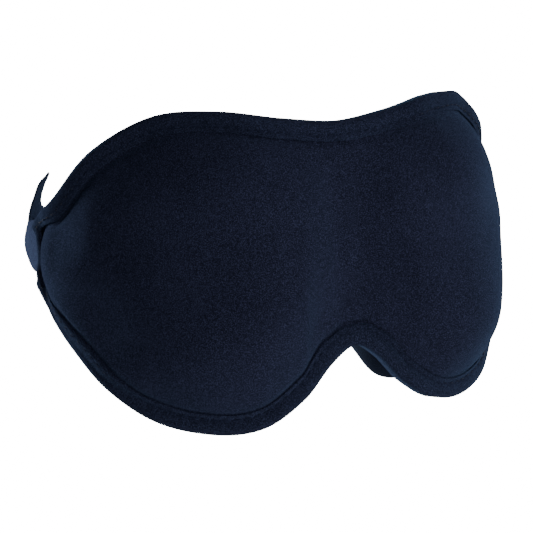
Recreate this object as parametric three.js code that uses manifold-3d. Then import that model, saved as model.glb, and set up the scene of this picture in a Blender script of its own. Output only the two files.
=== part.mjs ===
// Contoured sleep eye mask with a knit cover, edge bindings, a nose flap and an adjustable elastic strap.
// Units are millimetres. +Z is up, +X is to the right of someone looking at the mask's front, and the
// front faces -Y. The origin is on the plane of symmetry, on the rim's front curve over the nose bridge.

import * as THREE from 'three';
import { mergeVertices } from 'three/addons/utils/BufferGeometryUtils.js';
import Module from 'manifold-3d';

// ---------------------------------------------------------------- driving dimensions

// The rim is a band that bends around the head. Its direction turns by BEND_LINEAR * s + BEND_CUBIC * s^3
// radians, where s runs from 0 over the nose to 1 at the end of the rim.
const HALF_ARC = 100;
const BEND_LINEAR = 0.97;
const BEND_CUBIC = 0.67;

// Heights of the mask's outline against the arc length from the nose: [arc, z].
const TOP_OUTLINE = [[0, 38], [18, 40], [36, 43.3], [54, 42.8], [72, 34.7], [87, 22.4], [96, 18], [100, 14.8]];
const BOTTOM_OUTLINE = [[0, -28.2], [8, -32.6], [17, -41.4], [30, -48.4], [46, -48.1], [64, -41.7], [83, -24.1],
  [100, -5.4]];

const GAP = 0.3;
const SKIN = 0.6;              // thickness of the cover and of the lining
const RIM_HALF = 1.8;          // half the thickness of cover, foam and lining at the rim
const BINDING_THICKNESS = 0.8;
const BINDING_HALF = RIM_HALF + GAP + BINDING_THICKNESS;
const BINDING_LEG = 6;         // how far the top and bottom bindings reach in from the edge
const END_LEG = 3.6;           // the same for the two end bindings
const EDGE_INSET = 1.4;        // the shell's edge lies this far inside the binding's fold

const DOME_START = 7;          // the domes rise from this distance inside the rim
const DOME_RUN = 22;           // and are level after this much more
const DOME_LOW_FULLNESS = 0.2; // the domes are this much higher in their lower half
// Rise of the front against the arc length from the nose: a valley over the nose, then a dome over each eye.
const DOME_HEIGHT = [[0, 1], [5, 1.7], [17, 6.8], [29, 9.8], [41, 10.3], [52, 9.3], [64, 7.8], [80, 6.8], [100, 6.4]];
const EYE_ARC = 46;            // arc length from the nose to the middle of an eye hollow
const EYE_HEIGHT = -1;
const HOLLOW_ARC = 29;         // half width of an eye hollow
const HOLLOW_HEIGHT = 27;      // half height of an eye hollow
const CUSHION = 5;             // how far the padded ring around the hollows stands back
const CUP_WALL = 6.5;          // foam thickness at the bottom of an eye hollow

const FLAP_ARC = 21;           // the nose flap runs this far to each side of the nose
const FLAP_ROOT = [2.2, 5.2];  // distances from the notch's edge at the flap's seam
const FLAP_TIP = 1.8;          // the same for the middle of the flap's free edge
const FLAP_LENGTH = 10.5;

const STRAP_WIDTH = 15.2;
const STRAP_THICKNESS = 1;
const STRAP_ROOT = new THREE.Vector3(73.8, 56.8, 7);
const SEWN_RADIUS = 9.4;       // the sewn end's free edge is an arc about the strap's pivot
const SWING_START = 10;        // the swinging strap starts this far behind the pivot
// Course of each side of the loop against the length from its root: heading from straight back (degrees),
// height of the centre line, inward tilt of the width (degrees) and forward lean of the width (degrees).
const STRAP_HEADING = [[0, 9], [15, 15], [30, 24], [45, 30], [58, 20], [68, 17], [80, 26], [92, 44], [100, 62],
  [108, 90], [112, 90]];
const STRAP_HEIGHT = [[0, 7], [15, 6.5], [30, 13], [45, 18.5], [58, 21], [68, 18.5], [80, 13], [92, 7], [100, 5.2],
  [112, 5]];
const STRAP_TILT = [[0, 0], [15, 0], [30, 16], [45, 23], [58, 30], [68, 19], [80, 0], [92, -15], [102, 0], [112, 0]];
const STRAP_LEAN = [[0, 0], [15, 8], [30, 8], [58, 4], [92, 5], [102, 0], [112, 0]];
const STRAP_SIDE = 110;        // length of each side of the loop, up to the straight run at the back
const STRAP_STEP = 4;

const WRAP_RADIUS = 2;         // centre line of the strap where it turns around a ring bar
const RING_X = -16;            // middle of the ring
const RING_SPAN = 6;           // distance between its two bars
const RING_BAR = 1.2;          // radius of the ring's wire
const RING_INNER = 16.4;       // inside height of the ring
const FOLD_LENGTH = 8;         // the left strap's sewn fold

const SLIDER_X = 9.5;          // middle of the slider at rest
const SLIDER_LENGTH = 11;
const SLIDER_HEIGHT = 19.8;
const SLIDER_OPENING = 15.8;   // height of its channel and slots
const SLIDER_PLATE = 1.4;
const SLIDER_KEEPER = 1;
const SLIDER_BAR = 2.8;        // width of its middle bar
const SLIDER_SLOT = 2.5;
const RETURN_THICKNESS = 0.8;
const RETURN_TURN = 1.4;       // centre line of the return's turn around the slider's middle bar

// ---------------------------------------------------------------- curves

// A smooth curve through [x, y] points, with the slope at each inner point taken from its neighbours.
function smoothThrough(points) {
  const slopes = points.map((point, i) => {
    if (i === 0) return 0;
    const before = points[i - 1];
    const after = points[Math.min(i + 1, points.length - 1)];
    return (after[1] - before[1]) / (after[0] - before[0]);
  });
  return (x) => {
    let i = 0;
    while (i < points.length - 2 && x > points[i + 1][0]) i += 1;
    const [x0, y0] = points[i];
    const [x1, y1] = points[i + 1];
    const span = x1 - x0;
    const t = THREE.MathUtils.clamp((x - x0) / span, 0, 1);
    const rise = t * t * (3 - 2 * t);
    const leave = t * (1 - t) * (1 - t) * span * slopes[i];
    const arrive = t * t * (t - 1) * span * slopes[i + 1];
    return y0 + (y1 - y0) * rise + leave + arrive;
  };
}

const topCurve = smoothThrough(TOP_OUTLINE);
const bottomCurve = smoothThrough(BOTTOM_OUTLINE);
const topAt = (arc) => topCurve(Math.abs(arc));
const bottomAt = (arc) => bottomCurve(Math.abs(arc));

// How much longer the outline is than its projection on the arc: turns a distance from the edge into a height.
function outlineStretch(heightAt, arc) {
  const reach = 0.5;
  const slope = (heightAt(arc + reach) - heightAt(arc - reach)) / (2 * reach);
  return Math.hypot(1, slope);
}

function bendAt(arc) {
  const s = arc / HALF_ARC;
  return BEND_LINEAR * s + BEND_CUBIC * s ** 3;
}

// Point of the rim's curve seen from above, by Simpson's rule along the arc.
function planAt(arc) {
  const steps = 24;
  const step = arc / steps;
  let x = 0;
  let y = 0;
  for (let i = 0; i <= steps; i += 1) {
    const weight = i === 0 || i === steps ? 1 : 2 + 2 * (i % 2);
    x += weight * Math.cos(bendAt(i * step));
    y += weight * Math.sin(bendAt(i * step));
  }
  return { x: (x * step) / 3, y: (y * step) / 3 };
}

// Point at an arc length and a height, moved to the front by depth along the band's normal.
function shellPoint(arc, z, depth) {
  const { x, y } = planAt(arc);
  const bend = bendAt(arc);
  return new THREE.Vector3(x + depth * Math.sin(bend), y - depth * Math.cos(bend), z);
}

const smoothstep = (x, from, to) => THREE.MathUtils.smoothstep(x, from, to);

// Distance to the nearest part of the rim, rounded where two edges are equally near.
function rimDistance(arc, z) {
  const blend = 4;
  const top = (topAt(arc) - z) / outlineStretch(topAt, arc);
  const bottom = (z - bottomAt(arc)) / outlineStretch(bottomAt, arc);
  const end = HALF_ARC - Math.abs(arc);
  const sum = [top, bottom, end].reduce((total, d) => total + Math.exp(-d / blend), 0);
  return -blend * Math.log(sum);
}

const domeHeight = smoothThrough(DOME_HEIGHT);

function domeRise(arc, z) {
  const t = THREE.MathUtils.clamp((rimDistance(arc, z) - DOME_START) / DOME_RUN, 0, 1);
  const fullness = 1 + DOME_LOW_FULLNESS * (1 - smoothstep(z, -22, 8));
  return domeHeight(Math.abs(arc)) * fullness * (1 - (1 - t) ** 2);
}

const frontDepth = (arc, z) => RIM_HALF + domeRise(arc, z);

function backDepth(arc, z) {
  const across = (Math.abs(arc) - EYE_ARC) / HOLLOW_ARC;
  const up = (z - EYE_HEIGHT) / HOLLOW_HEIGHT;
  const hollow = 1 - smoothstep(Math.hypot(across, up), 0.45, 1);
  const ring = smoothstep(rimDistance(arc, z), DOME_START, 15) * smoothstep(Math.abs(arc), 4, 22);
  const cushion = -RIM_HALF - CUSHION * ring;
  const cup = frontDepth(arc, z) - CUP_WALL - 2 * (SKIN + GAP);
  return THREE.MathUtils.lerp(cushion, Math.max(cup, cushion), hollow);
}

// ---------------------------------------------------------------- solids

function closedGeometry(points, triangles) {
  let volume = 0;
  for (const [a, b, c] of triangles) {
    volume += points[a].dot(new THREE.Vector3().crossVectors(points[b], points[c]));
  }
  const faces = volume < 0 ? triangles.map(([a, b, c]) => [a, c, b]) : triangles;
  const geometry = new THREE.BufferGeometry();
  geometry.setAttribute('position', new THREE.Float32BufferAttribute(points.flatMap((p) => p.toArray()), 3));
  geometry.setIndex(faces.flat());
  geometry.computeVertexNormals();
  return geometry;
}

// Closed layer between two grids of points with the same numbers of columns and rows.
function layerGeometry(front, back) {
  const columns = front.length;
  const rows = front[0].length;
  const points = [...front.flat(), ...back.flat()];
  const at = (side, column, row) => side * columns * rows + column * rows + row;
  const triangles = [];
  const quad = (a, b, c, d) => triangles.push([a, b, c], [a, c, d]);
  for (let i = 0; i < columns - 1; i += 1) {
    for (let j = 0; j < rows - 1; j += 1) {
      quad(at(0, i, j), at(0, i, j + 1), at(0, i + 1, j + 1), at(0, i + 1, j));
      quad(at(1, i, j), at(1, i + 1, j), at(1, i + 1, j + 1), at(1, i, j + 1));
    }
    quad(at(0, i, 0), at(0, i + 1, 0), at(1, i + 1, 0), at(1, i, 0));
    quad(at(0, i, rows - 1), at(1, i, rows - 1), at(1, i + 1, rows - 1), at(0, i + 1, rows - 1));
  }
  for (let j = 0; j < rows - 1; j += 1) {
    quad(at(0, 0, j), at(1, 0, j), at(1, 0, j + 1), at(0, 0, j + 1));
    quad(at(0, columns - 1, j), at(0, columns - 1, j + 1), at(1, columns - 1, j + 1), at(1, columns - 1, j));
  }
  return closedGeometry(points, triangles);
}

// Solid through a list of sections, each a ring of points. A loop has no end caps.
function loftGeometry(sections, outline, isLoop = false) {
  const size = sections[0].length;
  const triangles = [];
  const last = isLoop ? sections.length : sections.length - 1;
  for (let i = 0; i < last; i += 1) {
    const here = i * size;
    const next = ((i + 1) % sections.length) * size;
    for (let j = 0; j < size; j += 1) {
      const k = (j + 1) % size;
      triangles.push([here + j, here + k, next + k], [here + j, next + k, next + j]);
    }
  }
  if (!isLoop) {
    const cap = THREE.ShapeUtils.triangulateShape(outline, []);
    const end = (sections.length - 1) * size;
    const wind = THREE.ShapeUtils.isClockWise(outline) ? 1 : -1;
    for (const [a, b, c] of cap) {
      triangles.push(wind > 0 ? [a, b, c] : [a, c, b]);
      triangles.push(wind > 0 ? [end + a, end + c, end + b] : [end + a, end + b, end + c]);
    }
  }
  return closedGeometry(sections.flat(), triangles);
}

// ---------------------------------------------------------------- shell: cover, foam and lining

const COLUMN_STEP = 6;
const EDGE_ROWS = [EDGE_INSET, DOME_START, 10.5, 15];
const MIDDLE_ROWS = 4;

function shellArcs() {
  const arcs = [0];
  for (let arc = COLUMN_STEP; arc < HALF_ARC - COLUMN_STEP; arc += COLUMN_STEP) arcs.push(arc);
  arcs.push(HALF_ARC - END_LEG - GAP, HALF_ARC - EDGE_INSET);
  return [...arcs.slice(1).reverse().map((arc) => -arc), ...arcs];
}

// Heights of the grid's rows at one arc length, close together at both edges.
function shellHeights(arc) {
  const top = topAt(arc);
  const bottom = bottomAt(arc);
  const height = top - bottom;
  const topStretch = outlineStretch(topAt, arc);
  const bottomStretch = outlineStretch(bottomAt, arc);
  const limit = (row) => height * (0.1 + 0.09 * row);
  const low = EDGE_ROWS.map((inset, row) => bottom + Math.min(inset * bottomStretch, limit(row)));
  const high = EDGE_ROWS.map((inset, row) => top - Math.min(inset * topStretch, limit(row)));
  const middle = [];
  for (let i = 1; i <= MIDDLE_ROWS; i += 1) {
    const t = i / (MIDDLE_ROWS + 1);
    middle.push(THREE.MathUtils.lerp(low.at(-1), high.at(-1), t));
  }
  return [...low, ...middle, ...high.reverse()];
}

function shellGrid(depthAt) {
  return shellArcs().map((arc) => shellHeights(arc).map((z) => shellPoint(arc, z, depthAt(arc, z))));
}

const makeCover = () => layerGeometry(shellGrid(frontDepth), shellGrid((arc, z) => frontDepth(arc, z) - SKIN));

const makeFoam = () => layerGeometry(
  shellGrid((arc, z) => frontDepth(arc, z) - SKIN - GAP),
  shellGrid((arc, z) => backDepth(arc, z) + SKIN + GAP),
);

const makeLining = () => layerGeometry(shellGrid((arc, z) => backDepth(arc, z) + SKIN), shellGrid(backDepth));

// ---------------------------------------------------------------- bindings

// U-shaped section: x is the distance in from the edge, y the depth.
function bindingOutline(leg) {
  const inner = BINDING_HALF - BINDING_THICKNESS;
  const wall = BINDING_THICKNESS;
  const round = 1;
  return [
    [leg, -BINDING_HALF], [round, -BINDING_HALF], [0, -BINDING_HALF + round], [0, BINDING_HALF - round],
    [round, BINDING_HALF], [leg, BINDING_HALF], [leg, inner], [wall, inner], [wall, -inner], [leg, -inner],
  ].map(([x, y]) => new THREE.Vector2(x, y));
}

function makeEdgeBinding(heightAt, inward, step) {
  const outline = bindingOutline(BINDING_LEG);
  const reach = HALF_ARC - END_LEG - GAP;
  const count = Math.ceil((2 * reach) / step);
  const sections = [];
  for (let i = 0; i <= count; i += 1) {
    const arc = -reach + (2 * reach * i) / count;
    const stretch = outlineStretch(heightAt, arc) * inward;
    sections.push(outline.map((p) => shellPoint(arc, heightAt(arc) + p.x * stretch, p.y)));
  }
  return loftGeometry(sections, outline);
}

function makeEndBinding(side) {
  const outline = bindingOutline(END_LEG);
  const rows = 6;
  const sections = [];
  for (let i = 0; i <= rows; i += 1) {
    sections.push(outline.map((p) => {
      const arc = HALF_ARC - p.x;
      const z = THREE.MathUtils.lerp(bottomAt(arc), topAt(arc), i / rows);
      return shellPoint(side * arc, z, p.y);
    }));
  }
  return loftGeometry(sections, outline);
}

// ---------------------------------------------------------------- nose flap

function makeNoseFlap() {
  const seam = -BINDING_HALF - GAP;
  const tip = seam - FLAP_LENGTH;
  const [low, high] = FLAP_ROOT;
  const outline = [
    [high, seam], [low, seam], [FLAP_TIP - 1.4, tip + 1.5], [FLAP_TIP - 1, tip + 0.4], [FLAP_TIP, tip],
    [FLAP_TIP + 1, tip + 0.4], [FLAP_TIP + 1.4, tip + 1.5],
  ].map(([x, y]) => new THREE.Vector2(x, y));
  const steps = 14;
  const sections = [];
  for (let i = 0; i <= steps; i += 1) {
    const arc = -FLAP_ARC + (2 * FLAP_ARC * i) / steps;
    const stretch = outlineStretch(bottomAt, arc);
    const taper = 1 - 0.35 * (arc / FLAP_ARC) ** 2;
    sections.push(outline.map((p) => {
      const depth = seam + (p.y - seam) * taper;
      return shellPoint(arc, bottomAt(arc) + p.x * stretch, depth);
    }));
  }
  return loftGeometry(sections, outline);
}

// ---------------------------------------------------------------- strap

const headingAt = smoothThrough(STRAP_HEADING);
const heightAt = smoothThrough(STRAP_HEIGHT);
const tiltAt = smoothThrough(STRAP_TILT);
const leanAt = smoothThrough(STRAP_LEAN);

// Stations along one side of the loop, for the left side: centre and direction of the width.
function strapSide(from, to) {
  const stations = [];
  const centre = new THREE.Vector3(-STRAP_ROOT.x, STRAP_ROOT.y, STRAP_ROOT.z);
  const fine = 0.5;
  let sinceLast = STRAP_STEP;
  for (let u = 0; u <= to; u += fine) {
    const heading = THREE.MathUtils.degToRad(headingAt(u));
    const ahead = new THREE.Vector3(Math.sin(heading), Math.cos(heading), 0);
    const inside = new THREE.Vector3(Math.cos(heading), -Math.sin(heading), 0);
    centre.z = heightAt(u);
    if (u >= from && (sinceLast >= STRAP_STEP || u + fine > to)) {
      const width = new THREE.Vector3(0, 0, 1)
        .addScaledVector(inside, Math.tan(THREE.MathUtils.degToRad(tiltAt(u))))
        .addScaledVector(ahead, -Math.tan(THREE.MathUtils.degToRad(leanAt(u))));
      stations.push({ centre: centre.clone(), width: width.normalize(), along: u });
      sinceLast = 0;
    }
    sinceLast += fine;
    centre.addScaledVector(ahead, fine);
  }
  return stations;
}

const mirrored = (v) => new THREE.Vector3(-v.x, v.y, v.z);
const mirroredStations = (list) => list.map(({ centre, width, along }) => (
  { centre: mirrored(centre), width: mirrored(width), along }));

// Flat ribbon through stations, with a rectangular section.
function ribbonGeometry(stations, thickness, halfWidthAt = () => STRAP_WIDTH / 2) {
  const corners = [[-1, -1], [1, -1], [1, 1], [-1, 1]];
  const outline = corners.map(([x, y]) => new THREE.Vector2(x, y));
  const sections = stations.map(({ centre, width, along }, i) => {
    const before = stations[Math.max(i - 1, 0)].centre;
    const after = stations[Math.min(i + 1, stations.length - 1)].centre;
    const ahead = new THREE.Vector3().subVectors(after, before).normalize();
    const normal = new THREE.Vector3().crossVectors(ahead, width).normalize();
    const half = halfWidthAt(along);
    return corners.map(([across, up]) => centre.clone()
      .addScaledVector(normal, (across * thickness) / 2)
      .addScaledVector(width, up * half));
  });
  return loftGeometry(sections, outline);
}

// Stations of a vertical ribbon on a half turn about (x, y), starting below it at y - radius.
function halfTurn(x, y, radius, direction, steps = 8) {
  const stations = [];
  for (let i = 0; i <= steps; i += 1) {
    const angle = (Math.PI * i) / steps;
    stations.push(verticalStation(x + direction * radius * Math.sin(angle), y - radius * Math.cos(angle)));
  }
  return stations;
}

function verticalStation(x, y) {
  return { centre: new THREE.Vector3(x, y, heightAt(STRAP_SIDE)), width: new THREE.Vector3(0, 0, 1) };
}

const leftSide = strapSide(SWING_START, STRAP_SIDE);
const rightSide = mirroredStations(leftSide);
const backY = leftSide.at(-1).centre.y;
const backZ = heightAt(STRAP_SIDE);
const ringY = backY + WRAP_RADIUS;
const returnY = backY + 2 * WRAP_RADIUS;
const leftBarX = RING_X - RING_SPAN / 2;
const rightBarX = RING_X + RING_SPAN / 2;

function makeSewnEnd(side) {
  const halfWidthAt = (u) => Math.min(STRAP_WIDTH / 2, Math.sqrt(SEWN_RADIUS ** 2 - u ** 2));
  const heading = THREE.MathUtils.degToRad(headingAt(0));
  const stations = [-2, 0, 3, 5.5, 7, 8.2, 9].map((u) => ({
    centre: new THREE.Vector3(
      side * (STRAP_ROOT.x - u * Math.sin(heading)),
      STRAP_ROOT.y + u * Math.cos(heading),
      STRAP_ROOT.z,
    ),
    width: new THREE.Vector3(0, 0, 1),
    along: u,
  }));
  return ribbonGeometry(stations, STRAP_THICKNESS, halfWidthAt);
}

function makeStrapLeft() {
  const fold = [verticalStation(leftBarX - FOLD_LENGTH, returnY)];
  return ribbonGeometry([...leftSide, ...halfTurn(leftBarX, ringY, WRAP_RADIUS, 1), ...fold], STRAP_THICKNESS);
}

function makeStrapRight() {
  const turn = halfTurn(rightBarX, ringY, WRAP_RADIUS, -1);
  return ribbonGeometry([...rightSide, ...turn], STRAP_THICKNESS);
}

// The doubled layer from the ring to the slider, whose end turns around the slider's middle bar.
function makeStrapReturn() {
  const turnX = SLIDER_X + SLIDER_BAR / 2 - 0.4;
  const turnY = returnY - RETURN_TURN;
  const turn = halfTurn(turnX, turnY, RETURN_TURN, 1).reverse();
  const tail = verticalStation(SLIDER_X - SLIDER_BAR / 2, turnY - RETURN_TURN);
  return ribbonGeometry([verticalStation(rightBarX + GAP, returnY), ...turn, tail], RETURN_THICKNESS);
}

// ---------------------------------------------------------------- adjuster

function makeRing() {
  const sides = 8;
  const corner = 1.6;
  const halfX = RING_SPAN / 2;
  const halfZ = RING_INNER / 2 + RING_BAR;
  const stations = [];
  [[1, 1], [-1, 1], [-1, -1], [1, -1]].forEach(([sx, sz], quarter) => {
    for (let i = 0; i <= 4; i += 1) {
      const angle = (quarter + i / 4) * (Math.PI / 2);
      const out = new THREE.Vector3(Math.cos(angle), 0, Math.sin(angle));
      const middle = new THREE.Vector3(sx * (halfX - corner), 0, sz * (halfZ - corner));
      stations.push({ centre: middle.addScaledVector(out, corner), out });
    }
  });
  const sections = stations.map(({ centre, out }) => {
    const ring = [];
    for (let j = 0; j < sides; j += 1) {
      const angle = (j / sides) * Math.PI * 2;
      ring.push(centre.clone()
        .addScaledVector(out, RING_BAR * Math.cos(angle))
        .addScaledVector(new THREE.Vector3(0, 1, 0), RING_BAR * Math.sin(angle)));
    }
    return ring;
  });
  return loftGeometry(sections, [], true).translate(RING_X, ringY, backZ);
}

const wasm = await Module();
wasm.setup();

function solidOf(geometry) {
  const plain = geometry.clone();
  plain.deleteAttribute('normal');
  plain.deleteAttribute('uv');
  const merged = mergeVertices(plain);
  return new wasm.Manifold(new wasm.Mesh({
    numProp: 3,
    vertProperties: new Float32Array(merged.attributes.position.array),
    triVerts: new Uint32Array(merged.index.array),
  }));
}

function geometryOf(solid) {
  const { vertProperties, triVerts } = solid.getMesh();
  const geometry = new THREE.BufferGeometry();
  geometry.setAttribute('position', new THREE.Float32BufferAttribute(vertProperties, 3));
  geometry.setIndex(new THREE.Uint32BufferAttribute(triVerts, 1));
  geometry.computeVertexNormals();
  return geometry;
}

function roundedBlock(length, height, thickness, radius) {
  const x = length / 2;
  const z = height / 2;
  const shape = new THREE.Shape()
    .moveTo(-x + radius, -z)
    .lineTo(x - radius, -z)
    .absarc(x - radius, -z + radius, radius, -Math.PI / 2, 0)
    .lineTo(x, z - radius)
    .absarc(x - radius, z - radius, radius, 0, Math.PI / 2)
    .lineTo(-x + radius, z)
    .absarc(-x + radius, z - radius, radius, Math.PI / 2, Math.PI)
    .lineTo(-x, -z + radius)
    .absarc(-x + radius, -z + radius, radius, Math.PI, 1.5 * Math.PI);
  const block = new THREE.ExtrudeGeometry(shape, { depth: thickness, bevelEnabled: false, curveSegments: 4 });
  return block.translate(0, 0, -thickness / 2).rotateX(Math.PI / 2);
}

// Block with a channel for the running strap and two slots that leave a middle bar in the outer plate.
function makeSlider() {
  const strapFace = STRAP_THICKNESS / 2 + GAP;
  const inner = -strapFace - SLIDER_KEEPER;
  const plateMiddle = returnY - RETURN_TURN - backY;
  const outer = plateMiddle + SLIDER_PLATE / 2;
  const channelTop = plateMiddle - SLIDER_PLATE / 2;
  const block = roundedBlock(SLIDER_LENGTH, SLIDER_HEIGHT, outer - inner, 2).translate(0, (outer + inner) / 2, 0);
  const channel = new THREE.BoxGeometry(2 * SLIDER_LENGTH, channelTop + strapFace, SLIDER_OPENING);
  channel.translate(0, (channelTop - strapFace) / 2, 0);
  let solid = solidOf(block).subtract(solidOf(channel));
  for (const side of [-1, 1]) {
    const slot = new THREE.BoxGeometry(SLIDER_SLOT, 3 * SLIDER_PLATE, SLIDER_OPENING);
    slot.translate(side * (SLIDER_BAR + SLIDER_SLOT) / 2, plateMiddle, 0);
    solid = solid.subtract(solidOf(slot));
  }
  return geometryOf(solid).translate(SLIDER_X, backY, backZ);
}

// Row of close stitches, as one low bar on the outer side of the fabric.
function makeBarTack(x) {
  const tack = new THREE.BoxGeometry(1.2, 0.4, STRAP_WIDTH - 3);
  return tack.translate(x, returnY + STRAP_THICKNESS / 2 + GAP + 0.2, backZ);
}

// ---------------------------------------------------------------- assembly

function fabric(color, roughness) {
  return new THREE.MeshStandardMaterial({ color, roughness, metalness: 0 });
}

const coverKnit = fabric(0x141a29, 0.9);
const bindingKnit = fabric(0x10161f, 0.92);
const liningKnit = fabric(0x11151d, 0.95);
const moulded = fabric(0x2a2c30, 1);
const elastic = fabric(0x222c3d, 0.85);
const plastic = fabric(0x0d0e11, 0.45);
const thread = fabric(0x1a2130, 0.8);

const part = new THREE.Group();
function addPiece(name, geometry, material) {
  const mesh = new THREE.Mesh(geometry, material);
  mesh.name = name;
  part.add(mesh);
}

addPiece('front_cover', makeCover(), coverKnit);
addPiece('foam_core', makeFoam(), moulded);
addPiece('lining', makeLining(), liningKnit);
addPiece('binding_top', makeEdgeBinding(topAt, -1, 5), bindingKnit);
addPiece('binding_bottom', makeEdgeBinding(bottomAt, 1, 4), bindingKnit);
addPiece('end_binding_left', makeEndBinding(-1), bindingKnit);
addPiece('end_binding_right', makeEndBinding(1), bindingKnit);
addPiece('strap_end_left', makeSewnEnd(-1), elastic);
addPiece('strap_end_right', makeSewnEnd(1), elastic);
addPiece('nose_flap', makeNoseFlap(), liningKnit);
addPiece('strap_left', makeStrapLeft(), elastic);
addPiece('strap_right', makeStrapRight(), elastic);
addPiece('strap_return', makeStrapReturn(), elastic);
addPiece('ring', makeRing(), plastic);
addPiece('bar_tack_left', makeBarTack(leftBarX - FOLD_LENGTH / 2), thread);
addPiece('slider', makeSlider(), plastic);
addPiece('bar_tack_slider', makeBarTack(SLIDER_X - SLIDER_LENGTH / 2 - 1.8), thread);

export default part;
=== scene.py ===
"""Looks of the contoured sleep eye mask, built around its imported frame.

Units are metres. +Z is up, the mask's front faces -Y and +X is to the right of someone looking at it.
A place on the mask's band is given by its arc length from the nose, its height and its depth, which is
measured towards the front from the rim's middle surface.
"""

import math

import bpy
import numpy as np
from mathutils import Matrix, Vector, noise


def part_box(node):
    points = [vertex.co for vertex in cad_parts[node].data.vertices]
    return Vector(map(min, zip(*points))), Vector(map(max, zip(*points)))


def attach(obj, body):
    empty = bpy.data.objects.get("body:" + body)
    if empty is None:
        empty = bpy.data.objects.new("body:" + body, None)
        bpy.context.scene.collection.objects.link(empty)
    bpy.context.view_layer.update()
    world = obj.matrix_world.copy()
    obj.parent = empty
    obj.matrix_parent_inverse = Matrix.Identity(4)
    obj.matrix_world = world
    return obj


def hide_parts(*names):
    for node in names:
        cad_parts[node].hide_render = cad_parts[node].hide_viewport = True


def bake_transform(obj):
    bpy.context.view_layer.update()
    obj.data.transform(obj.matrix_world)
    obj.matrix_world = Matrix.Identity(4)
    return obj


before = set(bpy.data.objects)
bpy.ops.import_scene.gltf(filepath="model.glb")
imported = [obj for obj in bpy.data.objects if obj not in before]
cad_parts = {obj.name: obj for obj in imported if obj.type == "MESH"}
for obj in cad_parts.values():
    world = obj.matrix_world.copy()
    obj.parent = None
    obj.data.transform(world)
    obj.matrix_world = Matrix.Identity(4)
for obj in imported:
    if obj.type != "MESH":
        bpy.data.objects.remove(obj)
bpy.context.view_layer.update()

MM = 0.001

# ------------------------------------------------------------------ driving dimensions, in millimetres

# The bend and the two outlines come from a least-squares fit to the photographed silhouette, rounded. Most of
# the heights were then moved. The strap's course further down comes from another such fit, rounded,
# with a few values changed.
HALF_ARC = 100
BEND_LINEAR = 0.97        # the band's direction turns by BEND_LINEAR * s + BEND_CUBIC * s**3 radians, where s
BEND_CUBIC = 0.67         # runs from 0 over the nose to 1 at the end of the band
TOP_OUTLINE = [(0, 38), (18, 40), (36, 43.3), (54, 43.2), (72, 34.9), (87, 22.1), (96, 17.6), (100, 14.8)]
BOTTOM_OUTLINE = [(0, -27.5), (8, -31.9), (17, -41.1), (30, -48.4), (46, -48.3), (64, -41.6), (83, -24.2),
                  (100, -6.2)]

RIM_FLARE = 0.9           # the band stands out this much at the top of the lobes' outer halves
LOW_FLARE = 0.8           # the same for its lower half near the ends
CORNER_FLARE = 1.0        # more of it at the lobes' lower outer corners
CROWN_FLARE = 0.9         # the same along the top edge on the nose side of each eye
CROWN_TUCK = 1.0          # and this much less beyond the eye
RIM_HALF = 1.8            # half the thickness of cover, foam and lining at the rim
SKIN = 0.6                # thickness of the cover and of the lining
CUT_INSET = 1.3           # their cut edges lie this far inside the binding's fold
FOAM_INSET = 1.6          # the same for the foam
FOAM_GAP = 0.5            # between the foam and each of them
BINDING_HALF = 3.0        # half the thickness over a binding
BINDING_LEG = 6.0         # how far the top and bottom bindings reach in from the edge
LEG_NARROWING = 0.32      # share of it that they lose towards the ends of the band
END_LEG = 3.6             # the same for the two end bindings
BINDING_FULLNESS = 1.2    # more of it round the top of the lobes
END_FULLNESS = 1.1        # and at the ends of the band
BINDING_WALL = 0.8        # thickness of the tape
BINDING_FOLD = 1.8        # the binding is rounded over this distance from the edge
END_FOLD = 2.8            # the same for the two end bindings
FOLD_POWER = 2.3          # of the rounding: 2 is a circle, more is squarer
END_SPAN = (0.10, 0.88)   # shares of the band's height between which the end bindings run
END_RUN = 20              # rough length of an end binding, for its UVs
SEAM_DEPTH = 0.5          # of the groove in the cover along the top and bottom bindings
STITCH_LINE = 4.4         # the stitches' distance from the edge
STITCH_DENT = 0.24        # the stitches press the binding in this far
STITCH_SINK = 0.26        # the thread's own depth below the unpressed binding

DOME_START = 4.6          # the domes rise from this distance inside the rim
DOME_RUN = 24             # and are level after this much more
DOME_END_START = 0.3      # the same as DOME_START at the band's two ends
DOME_HEIGHT = [(0, 1.0), (5, 1.5), (17, 7.6), (29, 10.3), (41, 10.5), (52, 9.2), (64, 7.4), (80, 5.9),
               (100, 5.6)]
DOME_LOW_FULLNESS = 0.28  # share by which the domes are higher in their lower half, except at the ends
DOME_HIGH_FULLNESS = 0.10  # the same for the upper half of their outer parts
DOME_SLACK = 0.33         # and the share by which they are lower at their lower outer corners
SLACK_START = 2.6         # DOME_START is this much smaller there
DOME_WAVES = [(0.7, -2, 7), (-1.0, -21, 8), (-0.6, 13, 6)]  # rise, height and reach of swells beyond the eyes
EYE_ARC = 46              # arc length from the nose to the middle of an eye hollow
EYE_HEIGHT = -1           # the height of that middle
HOLLOW_ARC = 29           # half width of an eye hollow
HOLLOW_HEIGHT = 27        # half its height
CUSHION = 5               # how far the padded ring around the hollows stands back
CUP_WALL = 6.5            # foam thickness at the bottom of an eye hollow

FLAP_ARC = 21             # the nose flap runs this far to each side of the nose
FLAP_LENGTH = 10.5        # from its seam back to its tip
FLAP_RAISE = 2.1          # it sits this much further in from the lower edge

STRAP_WIDTH = 16
STRAP_THICKNESS = 1.0
STRAP_ROOT = (73.8, 56.8, 7.3)  # where the right side of the loop starts, behind the end binding
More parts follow.
